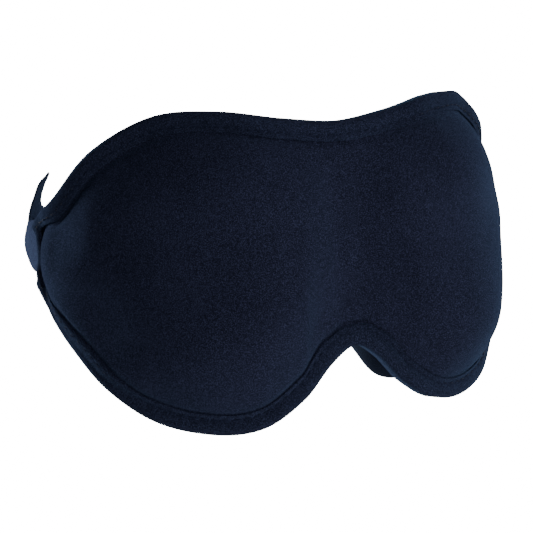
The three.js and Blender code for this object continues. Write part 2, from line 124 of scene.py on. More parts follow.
# Course of each side of the loop against the length from its root: heading from straight back, height of the
# centre line, inward tilt and forward lean of the width. Angles are in degrees.
STRAP_HEADING = [(0, 9), (15, 15), (30, 24), (45, 30), (58, 20), (68, 17), (80, 26), (92, 44), (100, 62),
                 (108, 90), (112, 90)]
STRAP_HEIGHT = [(0, 7.3), (15, 7.0), (30, 13), (45, 18.4), (58, 20.7), (68, 18.1), (80, 13), (92, 7),
                (100, 5.2), (112, 5)]
STRAP_TILT = [(0, 0), (15, 0), (30, 16), (45, 23), (58, 30), (68, 19), (80, 0), (92, -15), (102, 0), (112, 0)]
STRAP_LEAN = [(0, 0), (15, 8), (30, 8), (58, 4), (92, 5), (102, 0), (112, 0)]
STRAP_SIDE = 110          # length of each side of the loop, up to the straight run at the back
SEWN_INSET = 3.0          # the strap is sewn in this far inside the end of the band
SEWN_DEPTH = 0.2
ROOT_REACH = 6            # length of the tangents of its curve from there to the root
RIB_HEIGHT = 0.035        # of the fine ribs along the web
RIB_PITCH = 1.9
WRAP_RADIUS = 2           # of the web's centre line round the ring's bars
RING_X = -16              # middle of the ring
RING_SPAN = 6             # between the centres of the ring's two bars
RING_HEIGHT = 16.4        # of the ring's opening, clear of the web
RING_WIRE = 1.2           # radius of the ring's wire
RING_CORNER = 1.6
FOLD_LENGTH = 8           # of the left strap's sewn tail
SLIDER_X = 9.5            # middle of the slider
SLIDER_BAR = 2.8          # width of its middle bar
RETURN_TURN = 1.4         # radius of the doubled web's turn round the slider's bar

STITCH_PITCH = 3.0
STITCH_LENGTH = 2.1
THREAD_RADIUS = 0.15
TACK_TURNS = 34           # zigzags of a bar tack
TACK_HALF_WIDTH = 0.75
TACK_THREAD = 0.16        # radius of its thread

# ------------------------------------------------------------------ curves of the band


def smooth_through(points):
    """A smooth curve through (x, y) points.

    It starts level, takes the slope at each inner point from its neighbours and ends along its last chord.
    """
    xs, ys = (np.array(values, float) for values in zip(*points))
    slopes = np.zeros(len(xs))
    slopes[1:-1] = (ys[2:] - ys[:-2]) / (xs[2:] - xs[:-2])
    slopes[-1] = (ys[-1] - ys[-2]) / (xs[-1] - xs[-2])

    def curve(x):
        x = np.asarray(x, float)
        i = np.clip(np.searchsorted(xs, x, side="right") - 1, 0, len(xs) - 2)
        span = xs[i + 1] - xs[i]
        t = np.clip((x - xs[i]) / span, 0, 1)
        rise = t * t * (3 - 2 * t)
        leave = t * (1 - t) ** 2 * span * slopes[i]
        arrive = t * t * (t - 1) * span * slopes[i + 1]
        return ys[i] + (ys[i + 1] - ys[i]) * rise + leave + arrive

    return curve


_top = smooth_through(TOP_OUTLINE)
_bottom = smooth_through(BOTTOM_OUTLINE)


def top_at(arc):
    return _top(np.abs(arc))


def bottom_at(arc):
    return _bottom(np.abs(arc))


def stretch_at(outline, arc):
    """How much longer an outline is than its arc: turns a distance in from the edge into a height."""
    reach = 0.5
    return np.hypot(1, (outline(arc + reach) - outline(arc - reach)) / (2 * reach))


def smoothstep(x, low, high):
    t = np.clip((np.asarray(x, float) - low) / (high - low), 0, 1)
    return t * t * (3 - 2 * t)


def bend_at(arc):
    s = np.asarray(arc, float) / HALF_ARC
    return BEND_LINEAR * s + BEND_CUBIC * s**3


_PLAN_ARC = np.linspace(-HALF_ARC - 2, HALF_ARC + 2, 4081)
_PLAN_STEP = _PLAN_ARC[1] - _PLAN_ARC[0]


def _plan_table(direction):
    rate = direction(bend_at(_PLAN_ARC))
    table = np.concatenate([[0], np.cumsum((rate[1:] + rate[:-1]) / 2) * _PLAN_STEP])
    return table - np.interp(0, _PLAN_ARC, table)


_PLAN_X = _plan_table(np.cos)
_PLAN_Y = _plan_table(np.sin)


def flare(arc, z):
    """How far the outer parts of each lobe stand out from the plain bend."""
    side = np.abs(arc)
    upper = smoothstep(side, 60, 80) * (1 - smoothstep(side, 88, 99)) * smoothstep(z, 0, 22)
    lower = smoothstep(side, 58, 84) * (1 - smoothstep(side, 95, 100)) * smoothstep(-z, 4, 14)
    corner = smoothstep(side, 63, 76) * (1 - smoothstep(side, 86, 96)) * smoothstep(-z, 22, 34)
    crown = CROWN_FLARE * np.exp(-((side - 28) / 8) ** 2) * smoothstep(z, 20, 34)
    crown = crown - CROWN_TUCK * np.exp(-((side - 57) / 7) ** 2) * smoothstep(z, 25, 38)
    return RIM_FLARE * upper + LOW_FLARE * lower + CORNER_FLARE * corner + crown


def shell_point(arc, z, depth):
    """Points in millimetres, as an array of x, y, z in its last axis."""
    arc, z, depth = np.broadcast_arrays(np.asarray(arc, float), z, depth)
    depth = depth + flare(arc, z)
    bend = bend_at(arc)
    x = np.interp(arc, _PLAN_ARC, _PLAN_X) + depth * np.sin(bend)
    y = np.interp(arc, _PLAN_ARC, _PLAN_Y) - depth * np.cos(bend)
    return np.stack([x, y, z], axis=-1)


def rim_distance(arc, z, edge_start=0.0, end_start=0.0):
    """Distance inside the nearest part of the rim, rounded at the corners.

    It counts from edge_start inside the top and bottom edges, and from end_start inside the two ends.
    """
    blend = 4 - 2 * smoothstep(np.abs(arc), 80, 96)
    top = (top_at(arc) - z) / stretch_at(top_at, arc) - edge_start
    bottom = (z - bottom_at(arc)) / stretch_at(bottom_at, arc) - edge_start
    end = HALF_ARC - np.abs(arc) - end_start
    return -blend * np.log(np.exp(-top / blend) + np.exp(-bottom / blend) + np.exp(-end / blend))


def ripple(arc, z, scale, seed):
    """Smooth random field from -1 to 1 over the band."""
    flat = np.stack(np.broadcast_arrays(np.asarray(arc, float), z), -1)
    shape = flat.shape[:-1]
    values = [noise.noise(Vector((a / scale, h / scale, seed))) for a, h in flat.reshape(-1, 2)]
    return np.array(values).reshape(shape)


_dome_height = smooth_through(DOME_HEIGHT)


def dome_rise(arc, z):
    """Rise of the front over the rim: full in the lobes' lower halves, slack at their lower outer corners."""
    side = np.abs(arc)
    low_side = smoothstep(side, 55, 75) * (1 - smoothstep(z, -14, 8))
    t = np.clip(rim_distance(arc, z, DOME_START - SLACK_START * low_side, DOME_END_START) / DOME_RUN, 0, 1)
    low = (1 - smoothstep(z, -22, 8)) * (1 - smoothstep(side, 50, 75))
    high_side = smoothstep(side, 55, 75) * smoothstep(z, -14, 10)
    fullness = 1 + DOME_LOW_FULLNESS * low - DOME_SLACK * low_side + DOME_HIGH_FULLNESS * high_side
    steepness = 2 + 5 * low_side + smoothstep(side, 84, 98)
    waves = sum(rise * np.exp(-((z - middle) / reach) ** 2) for rise, middle, reach in DOME_WAVES)
    height = _dome_height(side) * fullness + smoothstep(side, 42, 58) * waves
    return height * (1 - (1 - t) ** steepness)


def front_depth(arc, z):
    return RIM_HALF + dome_rise(arc, z)


def back_depth(arc, z):
    across = (np.abs(arc) - EYE_ARC) / HOLLOW_ARC
    up = (z - EYE_HEIGHT) / HOLLOW_HEIGHT
    hollow = 1 - smoothstep(np.hypot(across, up), 0.45, 1)
    ring = smoothstep(rim_distance(arc, z), 6, 15) * smoothstep(np.abs(arc), 4, 22)
    cushion = -RIM_HALF - CUSHION * ring
    cup = front_depth(arc, z) - CUP_WALL - 2 * SKIN
    return cushion + (np.maximum(cup, cushion) - cushion) * hollow


# ------------------------------------------------------------------ mesh building


def mesh_object(name, points_mm, faces, uvs_mm=None):
    """Object from points in millimetres, faces as point numbers, and one UV pair for each point."""
    points = np.asarray(points_mm, float).reshape(-1, 3)
    mesh = bpy.data.meshes.new(name)
    mesh.from_pydata((points * MM).tolist(), [], [tuple(int(i) for i in f) for f in faces])
    if uvs_mm is not None:
        layer = mesh.uv_layers.new(name="surface")
        index = np.empty(len(mesh.loops), int)
        mesh.loops.foreach_get("vertex_index", index)
        layer.data.foreach_set("uv", (np.asarray(uvs_mm, float).reshape(-1, 2)[index] * MM).ravel())
    mesh.update()
    mesh.shade_smooth()
    piece = bpy.data.objects.new(name, mesh)
    bpy.context.scene.collection.objects.link(piece)
    return piece


def face_outward(piece):
    """Turns the faces of a closed mesh to point out."""
    mesh = piece.data
    mesh.calc_loop_triangles()
    volume = 0
    for triangle in mesh.loop_triangles:
        a, b, c = (mesh.vertices[i].co for i in triangle.vertices)
        volume += a.dot(b.cross(c))
    if volume < 0:
        mesh.flip_normals()
    return piece


def grid_faces(columns, rows, offset=0, wrap_columns=False, wrap_rows=False):
    faces = []
    for i in range(columns if wrap_columns else columns - 1):
        for j in range(rows if wrap_rows else rows - 1):
            near, far = offset + i * rows, offset + (i + 1) % columns * rows
            following = (j + 1) % rows
            faces.append((near + j, near + following, far + following, far + j))
    return faces


def layer_piece(name, front, back, uvs):
    """Closed sheet between two grids of points of one size, joined around their edge."""
    columns, rows = front.shape[:2]
    count = columns * rows
    faces = grid_faces(columns, rows)
    faces += [tuple(count + i for i in reversed(face)) for face in grid_faces(columns, rows)]
    edge = [i * rows for i in range(columns)]
    edge += [(columns - 1) * rows + j for j in range(1, rows)]
    edge += [i * rows + rows - 1 for i in range(columns - 2, -1, -1)]
    edge += list(range(rows - 2, 0, -1))
    for a, b in zip(edge, edge[1:] + edge[:1]):
        faces.append((a, b, b + count, a + count))
    points = np.concatenate([front.reshape(-1, 3), back.reshape(-1, 3)])
    return face_outward(mesh_object(name, points, faces, np.concatenate([uvs.reshape(-1, 2)] * 2)))


def loft_piece(name, sections, uvs, closed=False):
    """Solid through rings of points. An open loft gets flat caps."""
    count, size = sections.shape[:2]
    faces = grid_faces(count, size, wrap_columns=closed, wrap_rows=True)
    if not closed:
        faces += [tuple(range(size)), tuple((count - 1) * size + j for j in reversed(range(size)))]
    return face_outward(mesh_object(name, sections, faces, uvs))


def finish_piece(piece, material, body=None, nodes=()):
    piece.data.materials.clear()
    piece.data.materials.append(material)
    if body:
        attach(piece, body)
    if nodes:
        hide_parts(*nodes)


# ------------------------------------------------------------------ materials


class Nodes:
    """Short way to add shader nodes to a tree and link them."""

    def __init__(self, tree):
        self.tree = tree

    def add(self, kind, inputs=None, **settings):
        node = self.tree.nodes.new(kind)
        for key, value in settings.items():
            setattr(node, key, value)
        for key, value in (inputs or {}).items():
            if isinstance(value, bpy.types.NodeSocket):
                self.tree.links.new(value, node.inputs[key])
            else:
                node.inputs[key].default_value = value
        return node

    def math(self, operation, a, b=0.0):
        return self.add("ShaderNodeMath", {0: a, 1: b}, operation=operation).outputs[0]

    def mix(self, factor, a, b):
        node = self.add("ShaderNodeMix", data_type="RGBA")
        for socket, value in ((node.inputs[0], factor), (node.inputs[6], a), (node.inputs[7], b)):
            if isinstance(value, bpy.types.NodeSocket):
                self.tree.links.new(value, socket)
            else:
                socket.default_value = value
        return node.outputs[2]

    def noise(self, vector, scale, detail=2.0):
        node = self.add("ShaderNodeTexNoise", {"Vector": vector, "Scale": scale, "Detail": detail})
        return node.outputs["Fac"]

    def to_shader(self, **inputs):
        shader = self.tree.nodes["Principled BSDF"]
        for key, value in inputs.items():
            socket = shader.inputs[key.replace("_", " ")]
            if isinstance(value, bpy.types.NodeSocket):
                self.tree.links.new(value, socket)
            else:
                socket.default_value = value


def new_material(name):
    material = bpy.data.materials.new(name)
    material.use_nodes = True
    return material, Nodes(material.node_tree)


def scaled(colour, factor):
    return tuple(factor * c for c in colour)


def knit_material(name, dark, light, pitch_mm, sheen, gloss, bump_mm, inner_painted_shade=1.0):
    """Fine weft knit: rows of small loops in UV space, mottled yarn colour, fuzz as sheen.

    Here and below, the scales of noise are per metre. Where the mesh's attribute inner is 1, the colour is
    multiplied by the last argument: a painted shade that darkens the strap's inner face.
    """
    material, n = new_material(name)
    uv = n.add("ShaderNodeUVMap", uv_map="surface").outputs["UV"]
    position = n.add("ShaderNodeTexCoord").outputs["Object"]
    split = n.add("ShaderNodeSeparateXYZ", {0: uv})
    across = n.math("MULTIPLY", split.outputs["X"], 2 * math.pi / (pitch_mm * MM))
    along = n.math("MULTIPLY", split.outputs["Y"], 2 * math.pi / (0.8 * pitch_mm * MM))
    wale = n.math("SINE", across)
    lean = n.math("MULTIPLY", n.math("ABSOLUTE", wale), 1.6)
    course = n.math("SINE", n.math("ADD", along, lean))
    loops = n.math("MULTIPLY", n.math("ABSOLUTE", wale), n.math("ADD", n.math("MULTIPLY", course, 0.5), 0.5))
    grain = n.noise(position, 3800.0, 2.0)
    fuzz = n.noise(position, 900.0, 3.0)
    cloud = n.noise(position, 45.0, 3.0)
    # The bump comes from the loops, the yarn's grain and its fuzz. The tone comes from the loops, the fuzz, a
    # cloudy mottling and bright specks of the grain, which are partly lighter fibres and partly painted
    # glints.
    height = n.math("ADD", n.math("MULTIPLY", loops, 0.30), n.math("MULTIPLY", grain, 0.80))
    height = n.math("ADD", height, n.math("MULTIPLY", fuzz, 0.35))
    bump = n.add("ShaderNodeBump", {"Height": height, "Distance": bump_mm * MM, "Strength": 0.8})
    tone = n.math("ADD", n.math("MULTIPLY", loops, 0.12), n.math("MULTIPLY", fuzz, 0.28))
    tone = n.math("ADD", tone, n.math("MULTIPLY", cloud, 0.35))
    # Bright specks: lighter fibres and painted glints on the loops.
    specks_and_glints = n.add("ShaderNodeMapRange", {0: grain, 1: 0.46, 2: 0.78, 3: 0.0, 4: 2.0}).outputs[0]
    tone = n.math("ADD", tone, specks_and_glints)
    factor = n.add("ShaderNodeMapRange", {0: tone, 1: 0.10, 2: 1.5, 3: 0.0, 4: 1.0}).outputs[0]
    colour = n.mix(factor, (*dark, 1), (*light, 1))
    # Painted shade: where the attribute inner is set, the colour mixes towards a darker copy of itself.
    if inner_painted_shade != 1.0:
        inner = n.add("ShaderNodeAttribute", attribute_name="inner").outputs["Fac"]
        shaded = n.mix(factor, (*scaled(dark, inner_painted_shade), 1), (*scaled(light, inner_painted_shade), 1))
        colour = n.mix(inner, colour, shaded)
    n.to_shader(Base_Color=colour, Normal=bump.outputs[0], Roughness=0.80, Specular_IOR_Level=gloss,
                Specular_Tint=(0.55, 0.72, 1.0, 1))
    n.to_shader(Sheen_Weight=sheen, Sheen_Roughness=0.42, Sheen_Tint=(0.3, 0.55, 1.0, 1))
    return material


def plastic_material(name, colour):
    """Satin moulded plastic with a fine moulding texture and faint rub marks."""
    material, n = new_material(name)
    position = n.add("ShaderNodeTexCoord").outputs["Object"]
    fine = n.noise(position, 5200.0, 2.0)
    marks = n.noise(position, 260.0, 4.0)
    rough = n.add("ShaderNodeMapRange", {0: marks, 1: 0.3, 2: 0.7, 3: 0.34, 4: 0.52}).outputs[0]
    tint = n.mix(marks, (*colour, 1), (*scaled(colour, 1.5), 1))
    bump = n.add("ShaderNodeBump", {"Height": fine, "Distance": 0.00003, "Strength": 0.5})
    n.to_shader(Base_Color=tint, Roughness=rough, Normal=bump.outputs[0])
    return material


def foam_material(name, colour):
    """Open-cell foam: small pores over a soft mottled grey."""
    material, n = new_material(name)
    position = n.add("ShaderNodeTexCoord").outputs["Object"]
    cells = n.add("ShaderNodeTexVoronoi", {"Vector": position, "Scale": 1500.0}).outputs["Distance"]
    cloud = n.noise(position, 80.0, 3.0)
    tint = n.mix(cloud, (*colour, 1), (*scaled(colour, 0.7), 1))
    bump = n.add("ShaderNodeBump", {"Height": cells, "Distance": 0.0003, "Strength": 0.7})
    n.to_shader(Base_Color=tint, Roughness=0.95, Normal=bump.outputs[0])
    return material


def thread_material(name, colour):
    """Twisted sewing thread, with its plies as a fine slanted ripple."""
    material, n = new_material(name)
    position = n.add("ShaderNodeTexCoord").outputs["Object"]
    plies = n.add("ShaderNodeTexWave", {"Vector": position, "Scale": 900.0, "Distortion": 2.0}).outputs["Fac"]
    tint = n.mix(plies, (*scaled(colour, 0.6), 1), (*colour, 1))
    bump = n.add("ShaderNodeBump", {"Height": plies, "Distance": 0.00005, "Strength": 0.6})
    n.to_shader(Base_Color=tint, Roughness=0.8, Normal=bump.outputs[0], Specular_IOR_Level=0.08)
    return material


COVER = knit_material("cover_knit", (0.0038, 0.0042, 0.0078), (0.0275, 0.032, 0.068),
                      pitch_mm=0.5, sheen=0.09, gloss=0.0, bump_mm=0.18)
BINDING = knit_material("binding_knit", (0.0034, 0.0040, 0.0078), (0.0260, 0.032, 0.066),
                        pitch_mm=0.45, sheen=0.09, gloss=0.0, bump_mm=0.15)
LINING = knit_material("lining_knit", (0.0035, 0.0045, 0.009), (0.015, 0.019, 0.036),
                       pitch_mm=0.7, sheen=0.08, gloss=0.05, bump_mm=0.2)
# The elastic's inner face gets a painted shade: its colour there is 0.35 of the rest.
ELASTIC = knit_material("strap_elastic", (0.014, 0.019, 0.038), (0.049, 0.066, 0.128),
                        pitch_mm=0.8, sheen=0.02, gloss=0.0, bump_mm=0.2, inner_painted_shade=0.35)
FOAM = foam_material("foam", (0.05, 0.052, 0.058))
PLASTIC = plastic_material("adjuster_plastic", (0.012, 0.014, 0.019))
THREAD = thread_material("thread", (0.010, 0.014, 0.036))

# ------------------------------------------------------------------ cover, foam and lining


def band_grid(arc_step, rows, inset):
    """Arc lengths and heights of a grid over the band, closer together towards the edges."""
    count = int(round(2 * (HALF_ARC - inset) / arc_step)) + 1
    arcs = np.linspace(-(HALF_ARC - inset), HALF_ARC - inset, count)
    t = np.linspace(0, 1, rows)
    t = t - 0.5 * np.sin(2 * np.pi * t) / (2 * np.pi)
    low = bottom_at(arcs) + inset * stretch_at(bottom_at, arcs)
    high = top_at(arcs) - inset * stretch_at(top_at, arcs)
    heights = low[:, None] + (high - low)[:, None] * t[None, :]
    return np.repeat(arcs[:, None], rows, axis=1), heights


def surface_uvs(arcs, heights):
    return np.stack([arcs, heights], axis=-1)


def leg_scale(arc):
    """The top and bottom bindings run narrower into the ends of the band."""
    return 1 - LEG_NARROWING * smoothstep(np.abs(arc), 84, 99)


def cover_relief(arc, z):
    """Unevenness of knit drawn over foam: swells, puckers near the bindings and the seam's groove."""
    edge = rim_distance(arc, z)
    swell = 0.35 * ripple(arc, z, 26, 3.1) + 0.10 * ripple(arc, z, 9, 7.7)
    pucker = 0.14 * ripple(arc * 2.2, z * 2.2, 6, 1.3) * np.exp(-np.maximum(edge - 8, 0) / 3.0)
    seam = SEAM_DEPTH * np.exp(-((edge - BINDING_LEG * leg_scale(arc) - 0.4) / 0.75) ** 2)
    seam = seam * (1 - smoothstep(np.abs(arc), 84, 92))
    return swell * smoothstep(edge, 6, 14) + pucker * smoothstep(edge, 5, 8) - seam


def make_cover():
    arcs, heights = band_grid(1.0, 112, CUT_INSET)
    depth = front_depth(arcs, heights) + cover_relief(arcs, heights)
    piece = layer_piece("cover", shell_point(arcs, heights, depth), shell_point(arcs, heights, depth - SKIN),
                        surface_uvs(arcs, heights))
    finish_piece(piece, COVER, "mask", ["front_cover"])


def make_foam():
    arcs, heights = band_grid(3.0, 40, FOAM_INSET)
    front = front_depth(arcs, heights) - SKIN - FOAM_GAP
    back = np.minimum(back_depth(arcs, heights) + SKIN + FOAM_GAP, front - 0.8)
    piece = layer_piece("foam", shell_point(arcs, heights, front), shell_point(arcs, heights, back),
                        surface_uvs(arcs, heights))
    finish_piece(piece, FOAM, "mask", ["foam_core"])


def lining_relief(arc, z):
    edge = rim_distance(arc, z)
    swell = 0.3 * ripple(arc, z, 18, 5.2) + 0.12 * ripple(arc, z, 6, 9.4)
    return swell * smoothstep(edge, 6, 12)


def make_lining():
    arcs, heights = band_grid(1.2, 96, CUT_INSET)
    depth = back_depth(arcs, heights) + lining_relief(arcs, heights)
    piece = layer_piece("skin_lining", shell_point(arcs, heights, depth + SKIN),
                        shell_point(arcs, heights, depth), surface_uvs(arcs, heights))
    finish_piece(piece, LINING, "mask", ["lining"])


CUT_ARC = np.linspace(-HALF_ARC + CUT_INSET, HALF_ARC - CUT_INSET, 400)
CUT_TOP, CUT_BOTTOM = top_at(CUT_ARC), bottom_at(CUT_ARC)

make_foam()               # the foam, on which the cover and the lining rest
make_cover()
make_lining()

# ------------------------------------------------------------------ bindings


def soft_max(a, b, blend=0.35):
    """The larger of two values, with a rounded change-over."""
    return blend * np.logaddexp(a / blend, b / blend)


def half_thickness(arc, z):
    """Half the thickness over a binding, which is fuller round the top of the lobes and at the ends."""
    side = np.abs(arc)
    full = smoothstep(side, 50, 76) * (1 - smoothstep(side, 90, 99)) * smoothstep(z, -15, 15)
    end = smoothstep(side, 93, 99) * (smoothstep(z, -16, -7) + np.exp(-((z + 0.8) / 3.3) ** 2))
    return BINDING_HALF + BINDING_FULLNESS * full + END_FULLNESS * end


def fold_profile(x, half, fold):
    """Depth of a tape folded over the edge, at distance x from it."""
    t = np.clip(1 - x / fold, 0, 1)
    return half * (1 - t**FOLD_POWER) ** (1 / FOLD_POWER)


def binding_ring(leg, fold):
    """Section of a folded tape as (distance from the edge, layer), for its front half and its back half.

    The layer runs from 1 on the tape's outer face to 0 on its inner face. It is None inside the fold.
    """
    out = [fold * (1 - math.cos(t)) for t in np.linspace(0, math.pi / 2, 9)]
    out += list(np.linspace(fold, leg - 0.3, 12)[1:])
    front = [(x, 1.0) for x in out] + [(leg - 0.06, 0.8), (leg, 0.45), (leg - 0.08, 0.12)]
    front += [(x, 0.0) for x in np.linspace(leg - 0.4, BINDING_WALL + 1.2, 5)]
    return front, [(BINDING_WALL + 0.2, None)] + front[:0:-1]


def binding_points(places, toward_inside, leg, fold, relief):
    """Points of a binding, section by section.

    toward_inside turns the sections' places and a distance in from the edge into arcs and heights.
    """
    front, back = binding_ring(leg, fold)
    columns = []
    for face, ring in ((1, front), (-1, back)):
        for x, layer in ring:
            arc, z = toward_inside(places, x)
            if layer is None:
                columns.append(shell_point(arc, z, 0.0))
                continue
            under = front_depth(arc, z) if face > 0 else -back_depth(arc, z)
            thin = 1 - 0.6 * smoothstep(x, leg - 1.2, leg)
            outer = soft_max(fold_profile(x, half_thickness(arc, z), fold) * (1 - 0.25 * (x / leg) ** 4),
                             under + BINDING_WALL * thin)
            outer = outer - STITCH_DENT * math.exp(-((x - STITCH_LINE) / 0.8) ** 2) + relief(arc, z, x)
            outer = outer if x > 0.01 else np.zeros_like(outer)
            depth = outer - BINDING_WALL * thin * (1 - layer) * (x > 0.01)
            columns.append(shell_point(arc, z, face * depth))
    return np.stack(columns, axis=1)


def run_length(points):
    steps = np.linalg.norm(np.diff(points, axis=0), axis=1)
    return np.concatenate([[0], np.cumsum(steps)])


def ring_uvs(run, ring):
    """UVs of a loft from the lengths along it and one of its rings."""
    around = run_length(np.concatenate([ring, ring[:1]]))[:-1]
    return np.stack(np.broadcast_arrays(run[:, None], around[None, :]), -1)


def tape_relief(seed):
    """Soft ripple of a sewn tape, strongest halfway across it."""
    def ripple_at(a, h):
        wide = noise.noise(Vector((a / 7, h / 7, seed)))
        return wide + 0.7 * noise.noise(Vector((a / 2.6, h / 2.6, seed)))

    def relief(arc, z, x):
        field = [ripple_at(a, h) for a, h in zip(np.ravel(arc), np.ravel(z))]
        return 0.13 * np.array(field) * math.sin(min(x / BINDING_LEG, 1) * math.pi)
    return relief


def edge_inside(outline, inward):
    def place(arcs, x):
        return arcs, outline(arcs) + inward * stretch_at(outline, arcs) * leg_scale(arcs) * x
    return place


def make_edge_binding(name, outline, inward, node, seed):
    reach = HALF_ARC - 0.1
    arcs = np.linspace(-reach, reach, 361)
    points = binding_points(arcs, edge_inside(outline, inward), BINDING_LEG, BINDING_FOLD, tape_relief(seed))
    run = run_length(shell_point(arcs, outline(arcs), 0))
    piece = loft_piece(name, points, ring_uvs(run, points[len(points) // 2]))
    finish_piece(piece, BINDING, "mask", [node])


def make_end_binding(name, side, node):
    def place(t, x):
        arc = np.full_like(t, HALF_ARC - x)
        low, high = bottom_at(arc), top_at(arc)
        return side * arc, low + (high - low) * t
    t = np.linspace(*END_SPAN, 50)
    points = binding_points(t, place, END_LEG, END_FOLD, tape_relief(side * 3.3))
    piece = loft_piece(name, points, ring_uvs(END_RUN * t, points[len(points) // 2]))
    finish_piece(piece, BINDING, "mask", [node])


make_edge_binding("top_binding", top_at, -1, "binding_top", 2.2)
make_edge_binding("bottom_binding", bottom_at, 1, "binding_bottom", 8.4)
make_end_binding("left_end_binding", -1, "end_binding_left")
make_end_binding("right_end_binding", 1, "end_binding_right")

# ------------------------------------------------------------------ nose flap


def make_nose_flap():
    seam = -BINDING_HALF - 0.2
    tip = seam - FLAP_LENGTH
    # Section across the flap, as (distance in from the band's lower edge, depth).
    outline = [(3.5, seam + 0.3), (1.6, seam + 0.5), (0.3, seam - 0.3), (-0.4, seam - 2.5), (-1.0, seam - 5),
               (-1.5, seam - 7.5), (-1.7, tip + 2.2), (-1.5, tip + 0.9), (-0.8, tip + 0.15), (0, tip),
               (0.8, tip + 0.15), (1.5, tip + 0.9), (1.9, tip + 2.2), (2.3, seam - 7.5), (2.9, seam - 5),
               (3.5, seam - 2.5)]
    outline = np.array(outline) + [FLAP_RAISE, 0]
    middle = FLAP_RAISE + 0.9 + 0.02 * (outline[:, 1] - seam)
    # Along the flap, t runs from -1 to 1: it gets thinner and shorter towards its two ends.
    t = np.linspace(-1, 1, 73)
    arcs = FLAP_ARC * t
    swell = np.sqrt(np.clip(1 - np.abs(t) ** 5, 0.012, 1))
    taper = 1 - 0.35 * t**2
    stretch = stretch_at(bottom_at, arcs)
    inward = middle[None, :] + (outline[:, 0] - middle)[None, :] * swell[:, None]
    sag = np.exp(-((np.abs(arcs) - 4) / 4) ** 2) - 1.1 * np.exp(-((np.abs(arcs) - 13) / 5) ** 2)
    inward = inward + sag[:, None] * smoothstep(seam - outline[:, 1], 1, 7)[None, :]
    depth = seam + (outline[:, 1] - seam)[None, :] * (taper * (0.55 + 0.45 * swell))[:, None]
    dent = 0.14 * ripple(arcs[:, None], depth, 7, 6.6)
    points = shell_point(arcs[:, None], bottom_at(arcs)[:, None] + (inward + dent) * stretch[:, None], depth)
    piece = loft_piece("nose_pad", points, ring_uvs(arcs, outline))
    modifier = piece.modifiers.new("smooth", "SUBSURF")
    modifier.levels = modifier.render_levels = 1
    finish_piece(piece, LINING, None, ["nose_flap"])
    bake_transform(piece)


# ------------------------------------------------------------------ strap

heading_at = smooth_through(STRAP_HEADING)
height_at = smooth_through(STRAP_HEIGHT)
tilt_at = smooth_through(STRAP_TILT)
lean_at = smooth_through(STRAP_LEAN)
STRAP_FINE = 0.5          # distance between the sections of the web
PAINTED_SHADE_FADE = 60           # the inner face's painted shade fades out over this many sections before the back of the loop


def strap_side():
    """Centre line and width direction of the left side of the loop, from inside the mask's end binding."""
    u = np.arange(0, STRAP_SIDE + STRAP_FINE / 2, STRAP_FINE)
    heading = np.radians(heading_at(u))
    ahead = np.stack([np.sin(heading), np.cos(heading), np.zeros_like(u)], -1)
    inside = np.stack([np.cos(heading), -np.sin(heading), np.zeros_like(u)], -1)
    centre = np.array([-STRAP_ROOT[0], STRAP_ROOT[1], 0.0]) + np.concatenate(
        [np.zeros((1, 3)), np.cumsum(ahead[:-1] * STRAP_FINE, axis=0)])
    centre[:, 2] = height_at(u)
    width = np.array([0, 0, 1.0]) + inside * np.tan(np.radians(tilt_at(u)))[:, None]
    width -= ahead * np.tan(np.radians(lean_at(u)))[:, None]
    width /= np.linalg.norm(width, axis=1)[:, None]

    sewn = shell_point(-(HALF_ARC - SEWN_INSET), STRAP_ROOT[2], SEWN_DEPTH)
    t = np.linspace(0, 1, 14)[:-1, None]
    leave = np.array([-0.35, 1.0, 0]) * ROOT_REACH
    arrive = ahead[0] * ROOT_REACH
    start = (sewn * (2 * t**3 - 3 * t**2 + 1) + centre[0] * (3 * t**2 - 2 * t**3)
             + leave * (t**3 - 2 * t**2 + t) + arrive * (t**3 - t**2))
    upright = np.repeat([[0, 0, 1.0]], len(start), axis=0)
    return np.concatenate([start, centre]), np.concatenate([upright, width])


def turn_points(x, y, radius, direction, steps=16):
    """Half turn of an upright ribbon about (x, y), starting at y - radius."""
    angle = np.linspace(0, np.pi, steps)
    return np.stack([x + direction * radius * np.sin(angle), y - radius * np.cos(angle),
                     np.full(steps, float(height_at(STRAP_SIDE)))], -1)


def web_section(thickness, half_width):
    """Ring of (across, up) of a soft knitted web: flat faces with shallow ribs and rounded edges."""
    up = np.linspace(-1, 1, 33)
    face = thickness / 2 * np.sqrt(np.clip(1 - np.abs(up) ** 22, 0.03, 1))
    rib = RIB_HEIGHT * np.cos(up * half_width * 2 * np.pi / RIB_PITCH)
    right = np.stack([face + rib * (np.abs(up) < 0.93), up * half_width], -1)
    left = right[::-1] * [-1, 1]
    return np.concatenate([right, left])


def ribbon(name, centre, width, thickness, seed, painted_shade_side=0):
    """Web along a line of points.

    The last argument is the sign of the face that lies on the head, times how strongly a painted shade
    darkens that face.
    """
    run = run_length(centre)
    ahead = np.gradient(centre, axis=0)
    ahead /= np.linalg.norm(ahead, axis=1)[:, None]
    normal = np.cross(ahead, width)
    normal /= np.linalg.norm(normal, axis=1)[:, None]
    section = web_section(thickness, STRAP_WIDTH / 2)
    wave = np.array([[0.10 * noise.noise(Vector((s / 9, v / 7, seed))) for v in section[:, 1]] for s in run])
    edge = 1 + 0.012 * np.array([noise.noise(Vector((s / 5, seed, 3))) for s in run])
    points = (centre[:, None, :] + normal[:, None, :] * (section[None, :, 0] + wave)[..., None]
              + width[:, None, :] * (section[None, :, 1] * edge[:, None])[..., None])
    piece = loft_piece(name, points, ring_uvs(run, section))
    # The attribute inner carries the painted shade's weight on each point.
    inner = piece.data.attributes.new("inner", "FLOAT", "POINT")
    shade = np.broadcast_to(painted_shade_side, len(centre))[:, None] * np.sign(section[None, :, 0])
    inner.data.foreach_set("value", np.maximum(shade, 0).ravel().astype(float))
    return piece


